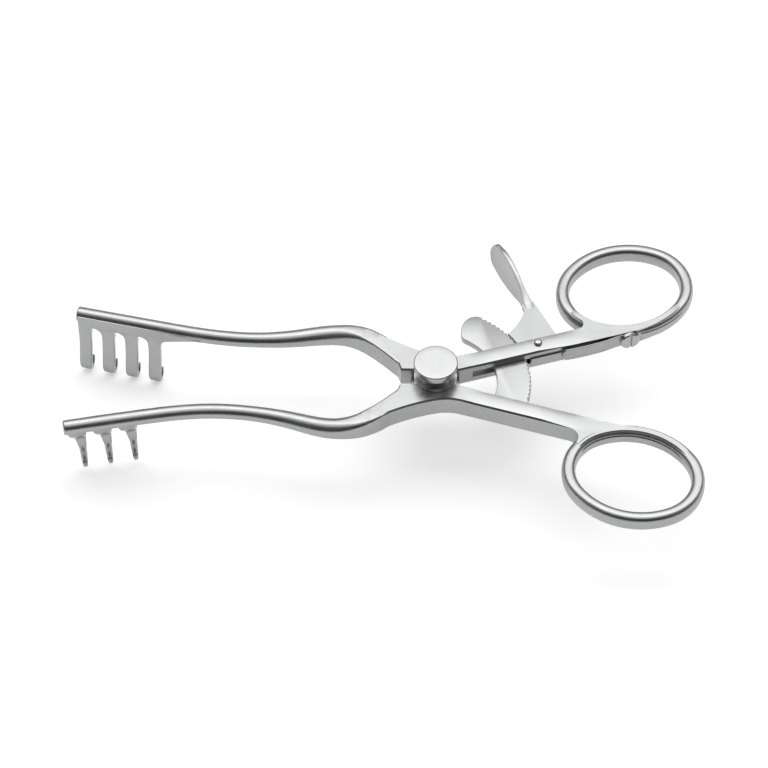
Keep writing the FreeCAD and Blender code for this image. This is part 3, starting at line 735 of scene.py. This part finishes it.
def prong_frame(points):
    """First point of the rod, its direction there and the direction outward from the jaws."""
    first, second = plan_points(points[:2])
    along = (second - first) / np.linalg.norm(second - first)
    side = 1.0 if points[0][1] > 0 else -1.0
    return first, along, np.cross(UP, along) * side


def softened(sizes, reach=3):
    """Row of sizes averaged over its neighbours, its two ends kept."""
    before = 2 * sizes[0] - sizes[reach:0:-1]
    beyond = 2 * sizes[-1] - sizes[-2:-reach - 2:-1]
    padded = np.concatenate([before, sizes, beyond])
    return np.convolve(padded, np.ones(2 * reach + 1) / (2 * reach + 1), mode="valid")


def prong_skin(points, distance, path, widths, walls, softness):
    """Hooked prong: rounded rectangles along a spline of (outward, down, sideways) places, to a blunt tip."""
    first, along, outward = prong_frame(points)
    base = first + along * distance
    places = np.array([base + along * sideways + outward * out - UP * down for out, down, sideways in path])
    centres = curve_through(places, 56)
    tangents = directions(centres)
    share = np.linspace(0.0, 1.0, len(centres))
    width = softened(np.interp(share, *zip(*widths)))
    wall = softened(np.interp(share, *zip(*walls)))
    close = np.sin(np.linspace(0.0, math.pi / 2, 6))[1:]
    centres = np.vstack([centres, centres[-1] + tangents[-1] * (close * wall[-1] * 0.5)[:, None]])
    fade = np.sqrt(np.maximum(1.0 - close**2, 0.004))
    width = np.concatenate([width, width[-1] * fade])
    wall = np.concatenate([wall, wall[-1] * fade])
    tangents = np.vstack([tangents, np.repeat(tangents[-1:], len(close), axis=0)])
    side_axes = np.repeat(along[None, :], len(centres), axis=0)
    across = unit_rows(np.cross(side_axes, tangents))
    corners = np.minimum(width, wall) * softness
    return tube(rounded_loops(centres, side_axes, across, width, wall, corners, 32))


def blunt_prong(distance, reach, full):
    """Broad prong, blunt below, with its narrowed tip turned up on the outside."""
    path = ((-1.14 * MM, 3.0 * MM, 0.0), (-1.5 * MM, reach * 0.4, 0.0), (-2.75 * MM, reach - 4.2 * MM, 0.0),
            (-2.75 * MM, reach - 1.6 * MM, 0.15 * MM), (-1.65 * MM, reach - 1.05 * MM, 0.5 * MM),
            (-0.6 * MM, reach - 1.8 * MM, 0.9 * MM), (0.0, reach - 3.2 * MM, 1.15 * MM))
    widths = ((0.0, full), (0.6, full), (0.7, full * 0.97), (0.78, full * 0.85), (0.84, full * 0.7),
              (0.9, full * 0.5), (1.0, full * 0.24))
    walls = ((0.0, 1.7 * MM), (0.2, 1.5 * MM), (0.6, 1.5 * MM), (0.8, 1.28 * MM), (1.0, 0.68 * MM))
    return prong_skin(SLOTTED_ROD, distance, path, widths, walls, 0.3)


def claw(distance, reach, full):
    """Claw that starts as broad as the rod and narrows to its turned up tip on the pivot side."""
    path = ((-0.35 * MM, 0.8 * MM, -0.1 * MM), (-0.8 * MM, reach * 0.2, 0.5 * MM),
            (-2.1 * MM, reach * 0.36, 1.2 * MM), (-1.6 * MM, reach * 0.48, 1.55 * MM),
            (-2.4 * MM, reach * 0.64, 1.75 * MM), (-2.15 * MM, reach - 4.6 * MM, 1.85 * MM),
            (-1.7 * MM, reach - 3.0 * MM, 1.9 * MM), (-0.85 * MM, reach - 2.25 * MM, 1.9 * MM),
            (0.0, reach - 2.8 * MM, 1.9 * MM), (0.35 * MM, reach - 3.8 * MM, 1.9 * MM))
    widths = ((0.0, full * 1.28), (0.2, full * 1.12), (0.27, full * 0.92), (0.37, full * 0.68),
              (0.47, full * 0.55), (0.64, full * 0.46), (0.82, full * 0.4), (1.0, full * 0.24))
    walls = ((0.0, 3.0 * MM), (0.24, 1.8 * MM), (0.36, 1.5 * MM), (0.57, 1.4 * MM), (0.86, 1.15 * MM),
             (1.0, 0.68 * MM))
    return prong_skin(PLAIN_ROD, distance, path, widths, walls, 0.42)


def comb_skin(pitch, width, diameter):
    """Web of the comb in (distance, down) places: flush with the rod, a large round right of each gap."""
    first, along, outward = prong_frame(SLOTTED_ROD)
    top = -0.95 * MM
    low = diameter / 2 + 0.75 * MM
    large = 2.4 * MM
    small = 0.5 * MM
    below = low + large + 1.0 * MM
    wall = 1.7 * MM
    rim = 0.1 * MM
    rows = [[[0.12 * MM, top], [0.0, 0.0], [0.0, below]]]
    for index in range(3):
        left = index * pitch + width
        right = (index + 1) * pitch
        rows += [[[left, below]], arc_places((left + small, low + small), small, 180, 270, 4),
                 arc_places((right - large, low + large), large, 270, 360, 8), [[right, below]]]
    last = 3 * pitch + width
    rows += [[[last, below]], arc_places((last + large, low + large), large, 180, 262, 8),
             [[last + 6.0 * MM, low - 1.15 * MM], [last + 11.0 * MM, 0.35 * MM], [last + 9.0 * MM, 0.0],
              [last + 2.0 * MM, top * 0.8]]]
    flat = np.vstack(rows)
    flush = first - outward * (diameter / 2 + 0.015 * MM)
    return slab(flush + flat[:, :1] * along - flat[:, 1:] * UP, outward, wall, rim)


class RETRACTOR_OT_prongs(bpy.types.Operator):
    """Builds the comb of blunt prongs with its web, and the row of claws"""

    bl_idname = "retractor.prongs"
    bl_label = "Prongs"

    def execute(self, context):
        jaw = context.scene.retractor_jaw
        material = arm_steel()
        half = jaw.blunt_width / 2
        for index in range(4):
            skin = blunt_prong(half + index * jaw.blunt_pitch, jaw.prong_reach, jaw.blunt_width)
            make_piece("blunt_prong_%d" % (index + 1), skin, "slotted_half", material)
        web = comb_skin(jaw.blunt_pitch, jaw.blunt_width, jaw.rod_diameter)
        make_piece("comb_web", web, "slotted_half", material, math.radians(35))
        first_claw = jaw.claw_width / 2 + 0.4 * MM
        for index in range(3):
            distance = first_claw + index * jaw.claw_pitch
            skin = claw(distance, jaw.prong_reach, jaw.claw_width)
            make_piece("claw_%d" % (index + 1), skin, "plain_half", material)
        return {"FINISHED"}


def turned_skin(profile, around=128):
    """Profile of (radius, height) places turned about Z, closed by a pole at each end."""
    profile = np.asarray(profile, dtype=float)
    turn = np.arange(around) * 2.0 * math.pi / around
    circle = np.column_stack([np.cos(turn), np.sin(turn)])
    rows = len(profile)
    flat = profile[:, 0][:, None, None] * circle[None, :, :]
    level = np.broadcast_to(profile[:, 1][:, None, None], (rows, around, 1))
    return tube(np.concatenate([flat, level], axis=2))


def knob_skin():
    """Knob headed screw: shank, neck, hollow flare, side band and flat top with rounded rims."""
    rim = 0.4 * MM
    low = KNOB_TOP - 2.0 * MM
    soft = 0.15 * MM
    shank = 2.5 * MM
    bevel = 0.2 * MM
    neck = 3.5 * MM
    neck_top = ARM_TOP + 1.5 * MM
    flare = np.linspace(0.0, 1.0, 10)[:-1]
    flared = neck + (KNOB_RADIUS - soft - neck) * flare**1.3
    hollow = np.column_stack([flared, neck_top + (low - neck_top) * flare])
    return np.vstack([
        [[2 * bevel, 0.0], [shank - bevel, 0.0], [shank, bevel], [shank, ARM_TOP], [neck, ARM_TOP]],
        hollow,
        arc_places((KNOB_RADIUS - soft, low + soft), soft, -60, 0, 4),
        arc_places((KNOB_RADIUS - rim, KNOB_TOP - rim), rim, 0, 90, 8),
        [[KNOB_RADIUS * 0.6, KNOB_TOP], [KNOB_RADIUS * 0.2, KNOB_TOP]],
    ])


class RETRACTOR_OT_knob(bpy.types.Operator):
    """Turns the knob headed pivot screw"""

    bl_idname = "retractor.knob"
    bl_label = "Knob"

    def execute(self, context):
        make_piece("knob_screw", turned_skin(knob_skin()), "plain_half", knob_steel(),
                   math.radians(40), ("pivot_screw",))
        return {"FINISHED"}


def bar_outline():
    """Plan of the ratchet bar: an arc with saw teeth outside, full round at its free end."""
    inner = 16.1 * MM
    tip = BAR_RADIUS
    valley = tip - 0.55 * MM
    end = 62.0
    pitch = 3.3
    steep = 0.83
    count = 23
    root = 4.65 * MM
    angle = SHANK_ANGLES["plain"]
    root_inner = -angle - math.degrees(math.asin(root / inner))
    root_outer = -angle - math.degrees(math.asin(root / tip))
    starts = end - 2.0 - pitch * np.arange(count)
    flanks = np.column_stack([starts, starts - steep]).ravel()
    teeth = np.column_stack([flanks, np.tile([tip, valley], count)])
    last = starts[-1] - pitch
    smooth = np.column_stack([np.linspace(last, root_outer, 8), np.full(8, tip)])
    back = np.column_stack([np.linspace(root_inner, end - 2.5, 60), np.full(60, inner)])
    crown_middle = (tip + inner) / 2
    crown_half = (tip - inner) / 2
    crown_rise = 3.1 * MM
    turn = np.linspace(0.0, math.pi, 18)[1:-1]
    crown = np.column_stack([end - 1.4 + np.degrees(crown_rise * np.sin(turn) / crown_middle),
                             crown_middle - crown_half * np.cos(turn)])
    rows = np.vstack([teeth, smooth, back, crown])
    turns = np.radians(rows[:, 0])
    radius = rows[:, 1]
    return np.column_stack([radius * np.cos(turns), radius * np.sin(turns), np.full(len(rows), BAR_BOTTOM)])


class RETRACTOR_OT_ratchet(bpy.types.Operator):
    """Builds the toothed arc plate of the ratchet"""

    bl_idname = "retractor.ratchet"
    bl_label = "Ratchet bar"

    def execute(self, context):
        skin = slab(bar_outline(), UP, BAR_TOP - BAR_BOTTOM, 0.18 * MM)
        make_piece("ratchet_plate", skin, "plain_half", plate_steel(), math.radians(40),
                   ("ratchet_bar",))
        return {"FINISHED"}


def paddle_axes():
    """Root and tip of the thumb paddle in the middle plane, and the directions along and across it."""
    root, tip = plan_points(((24.7, 26.4), (15.9, 46.4)))
    chord = (tip - root) / np.linalg.norm(tip - root)
    return root, tip, chord, np.array([chord[1], -chord[0], 0.0])


def paddle_skin():
    """Bowed thumb paddle: flat rimmed loops dished by dish * (1 - up^2), their half height a long oval."""
    root, tip, chord, across = paddle_axes()
    span = np.linalg.norm(tip - root)
    share = 1.0 - (1.0 - np.linspace(0.0, 1.0, 80)) ** 1.6 * 1.08
    stops = np.array([-0.06, 0.04, 0.16, 0.3, 0.45, 0.6, 0.74, 0.86])
    halves = np.array([0.95, 1.2, 2.2, 3.35, 4.25, 4.72, 4.72, 4.1]) * MM
    half = np.interp(share, stops, halves)
    half = np.convolve(np.pad(half, 4, mode="edge"), np.ones(9) / 9, mode="valid")
    round_share = np.clip((share - 0.86) / 0.14, 0.0, 1.0)
    half = half * np.sqrt(np.maximum(1.0 - round_share**2.2, 0.004))
    inside = np.clip(share, 0.0, 1.0)
    bow = 2.0 * MM * inside * (1.0 - inside)
    half_wall = 0.65 * MM
    root_extra = 0.5 * MM
    wall = (half_wall + root_extra * (1.0 - eased(share, 0.0, 0.24)))[:, None]
    corner = np.minimum(0.28 * MM, half * 0.8)
    faces = np.linspace(-1.0, 1.0, 15)
    turn = np.linspace(0.0, math.pi / 2, 5)[1:-1]
    rise = (half - corner)[:, None]
    corner = corner[:, None]
    flat = 0.0 * rise
    level = np.hstack([rise * faces, rise + corner * np.sin(turn), rise + corner,
                       rise + corner * np.cos(turn), -rise * faces, -rise - corner * np.sin(turn),
                       -rise - corner, -rise - corner * np.cos(turn)])
    side = np.hstack([wall + flat * faces, wall - corner + corner * np.cos(turn), flat,
                      corner - wall - corner * np.sin(turn), -wall + flat * faces,
                      corner - wall - corner * np.cos(turn), flat, wall - corner + corner * np.sin(turn)])
    fullness = (half / half.max())[:, None]
    height = level / half[:, None]
    dish = 0.6 * MM * fullness * (1.0 - height**2)
    lean = 0.45 * MM * fullness * height
    set_back = 0.2 * MM * eased(share, 0.0, 0.3)[:, None]
    aside = bow[:, None] + side + dish + lean - set_back
    centres = root + chord * (share * span)[:, None]
    return tube(centres[:, None, :] + aside[:, :, None] * across + level[:, :, None] * UP)


class RETRACTOR_OT_lever(bpy.types.Operator):
    """Builds the release lever with its bowed thumb paddle"""

    bl_idname = "retractor.lever"
    bl_label = "Release lever"

    def execute(self, context):
        material = plate_steel()
        root, _, chord, _ = paddle_axes()
        cut = (Vector(root + chord * 0.4 * MM), Vector(-chord))
        copied_piece("lever_plate", "release_lever", material, "lever", cut, 0.18 * MM)
        make_piece("lever_paddle", paddle_skin(), "lever", material, math.radians(60))
        return {"FINISHED"}


def leaf_skin():
    """Thin leaf along the shank: its height rounds off at both ends and it bows off the shank to its tip."""
    along, outward = shank_frame("slotted")
    tip, bend, screw, half = 34.6 * MM, 47.0 * MM, 53.4 * MM, 2.05 * MM
    end = screw + 0.4 * MM + half
    tip_round = 1.6 * MM
    thickness = 0.4 * MM
    seat = 0.02 * MM
    share = (1.0 - np.cos(np.linspace(0.0, math.pi, 90))) / 2
    s = tip + (end - tip) * share
    left = np.clip((s - tip) / tip_round, 0.0, 1.0)
    right = np.clip((end - s) / half, 0.0, 1.0)
    height = 2 * half * np.sqrt(np.clip(1.0 - (1.0 - left) ** 2, 0.001, 1.0))
    height = height * np.sqrt(np.clip(1.0 - (1.0 - right) ** 2, 0.001, 1.0))
    lift = 0.55 * MM * eased(screw - 2.6 * MM - s, 0.0, 5.0 * MM)
    lift += 0.22 * MM * np.sin(math.pi * np.clip((bend - s) / (bend - tip), 0.0, 1.0))
    centres = s[:, None] * along - (seat + lift)[:, None] * outward + ARM_MIDDLE * UP
    rows = len(s)
    outs = np.repeat(outward[None, :], rows, axis=0)
    ups = np.repeat(UP[None, :], rows, axis=0)
    corners = np.minimum(0.4 * thickness, height / 3)
    return tube(rounded_loops(centres, outs, ups, np.full(rows, thickness), height, corners, 24))


class RETRACTOR_OT_spring(bpy.types.Operator):
    """Builds the leaf spring that presses on the lever's tail"""

    bl_idname = "retractor.spring"
    bl_label = "Leaf spring"

    def execute(self, context):
        piece = make_piece("leaf", leaf_skin(), None, spring_steel(), math.radians(50),
                           ("leaf_spring",))
        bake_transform(piece)
        return {"FINISHED"}


class RETRACTOR_OT_fasteners(bpy.types.Operator):
    """Finishes the spring screw, the lever pin and the rivets"""

    bl_idname = "retractor.fasteners"
    bl_label = "Screw, pin and rivets"

    def execute(self, context):
        material = knob_steel()
        copied_piece("slotted_screw", "spring_screw", material, "slotted_half", rim=0.06 * MM)
        copied_piece("domed_pin", "lever_pin", material, "slotted_half")
        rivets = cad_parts["ratchet_rivets"]
        rivets.data.materials.clear()
        rivets.data.materials.append(material)
        return {"FINISHED"}


def sky_strength(tree):
    """Radiance of the studio by direction: bright overhead and behind, dim low down and in front."""
    place = tree.nodes.new("ShaderNodeTexCoord")
    parts = tree.nodes.new("ShaderNodeSeparateXYZ")
    tree.links.new(place.outputs["Generated"], parts.inputs["Vector"])
    depth = spread(tree, parts.outputs["Y"], 0.06, 0.42, -0.8, 0.3)
    horizon = spread(tree, parts.outputs["Z"], 0.1, 1.0, 0.05, 0.35)
    overhead = spread(tree, parts.outputs["Z"], 0.0, 0.9, 0.84, 0.97)
    return combine(tree, "ADD", combine(tree, "MULTIPLY", depth, horizon), overhead)


def make_world(scene):
    """Studio world: its gradient lights the object, and the camera sees it white."""
    world = bpy.data.worlds.new("studio")
    world.use_nodes = True
    tree = world.node_tree
    background = tree.nodes["Background"]
    background.inputs["Color"].default_value = (1.0, 1.0, 1.0, 1.0)
    path = tree.nodes.new("ShaderNodeLightPath")
    seen = combine(tree, "MAXIMUM", path.outputs["Is Camera Ray"], sky_strength(tree))
    tree.links.new(seen, background.inputs["Strength"])
    scene.world = world


def floor_material():
    """Pale floor that keeps the object's shadow and is lifted to white where camera and metal see it."""
    material, tree, shader = new_material("pale floor")
    shader.inputs["Base Color"].default_value = (0.84, 0.84, 0.84, 1.0)
    shader.inputs["Roughness"].default_value = 0.9
    shader.inputs["Emission Color"].default_value = (1.0, 1.0, 1.0, 1.0)
    path = tree.nodes.new("ShaderNodeLightPath")
    seen = combine(tree, "MULTIPLY", path.outputs["Is Camera Ray"], 0.42)
    mirrored = combine(tree, "MULTIPLY", path.outputs["Is Glossy Ray"], 0.26)
    tree.links.new(combine(tree, "MAXIMUM", seen, mirrored), shader.inputs["Emission Strength"])
    return material


def add_area(name, place, target, size, power):
    """Soft rectangular lamp at a place, turned to its target."""
    lamp = bpy.data.lights.new(name, "AREA")
    lamp.shape = "RECTANGLE"
    lamp.size = size[0]
    lamp.size_y = size[1]
    lamp.energy = power
    thing = bpy.data.objects.new(name, lamp)
    bpy.context.scene.collection.objects.link(thing)
    thing.location = place
    thing.rotation_euler = (Vector(target) - Vector(place)).to_track_quat("-Z", "Y").to_euler()


class RETRACTOR_OT_stage(bpy.types.Operator):
    """Lays the floor and sets the lamp, the world and the camera"""

    bl_idname = "retractor.stage"
    bl_label = "Stage"

    def execute(self, context):
        settings = context.scene.retractor_stage
        scene = context.scene
        scene.view_settings.view_transform = "Standard"
        half = 6.0
        level = LOWEST - settings.floor_gap
        mesh = bpy.data.meshes.new("floor")
        corners = [(-half, -half, level), (half, -half, level), (half, half, level), (-half, half, level)]
        mesh.from_pydata(corners, [], [(0, 1, 2, 3)])
        floor = bpy.data.objects.new("floor", mesh)
        scene.collection.objects.link(floor)
        mesh.materials.append(floor_material())
        make_world(scene)
        target = (-0.0134, -0.00283, ARM_TOP)
        add_area("back softbox", (0.0, 0.66, 1.25), target, (3.2, 1.0), settings.softbox_power)
        camera = bpy.data.cameras.new("camera")
        camera.lens = settings.focal_length
        camera.sensor_width = 36.0
        camera.clip_start = 0.05
        camera.clip_end = 20.0
        thing = bpy.data.objects.new("camera", camera)
        scene.collection.objects.link(thing)
        rise = settings.camera_elevation
        back = settings.camera_distance
        thing.location = Vector(target) + Vector((0.0, -back * math.cos(rise), back * math.sin(rise)))
        thing.rotation_euler = (math.pi / 2 - rise, 0.0, 0.0)
        scene.camera = thing
        return {"FINISHED"}


SETTINGS = (SteelSettings, JawSettings, RingSettings, StageSettings)
STEPS = (RETRACTOR_OT_arms, RETRACTOR_OT_rings, RETRACTOR_OT_rods, RETRACTOR_OT_prongs, RETRACTOR_OT_knob,
         RETRACTOR_OT_ratchet, RETRACTOR_OT_lever, RETRACTOR_OT_spring, RETRACTOR_OT_fasteners,
         RETRACTOR_OT_stage)


class RETRACTOR_PT_panel(bpy.types.Panel):
    """Lists the steps that build the looks"""

    bl_idname = "RETRACTOR_PT_panel"
    bl_label = "Retractor"
    bl_space_type = "VIEW_3D"
    bl_region_type = "UI"
    bl_category = "Retractor"

    def draw(self, context):
        for step in STEPS:
            self.layout.operator(step.bl_idname)


CLASSES = SETTINGS + STEPS + (RETRACTOR_PT_panel,)


def register():
    for item in CLASSES:
        bpy.utils.register_class(item)
    bpy.types.Scene.retractor_steel = bpy.props.PointerProperty(type=SteelSettings)
    bpy.types.Scene.retractor_jaw = bpy.props.PointerProperty(type=JawSettings)
    bpy.types.Scene.retractor_ring = bpy.props.PointerProperty(type=RingSettings)
    bpy.types.Scene.retractor_stage = bpy.props.PointerProperty(type=StageSettings)


def unregister():
    del bpy.types.Scene.retractor_steel
    del bpy.types.Scene.retractor_jaw
    del bpy.types.Scene.retractor_ring
    del bpy.types.Scene.retractor_stage
    for item in reversed(CLASSES):
        bpy.utils.unregister_class(item)


def main():
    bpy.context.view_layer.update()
    register()
    bpy.ops.retractor.arms()
    bpy.ops.retractor.rings()
    bpy.ops.retractor.rods()
    bpy.ops.retractor.prongs()
    bpy.ops.retractor.knob()
    bpy.ops.retractor.ratchet()
    bpy.ops.retractor.lever()
    bpy.ops.retractor.spring()
    bpy.ops.retractor.fasteners()
    bpy.ops.retractor.stage()


if __name__ == "__main__":
    main()
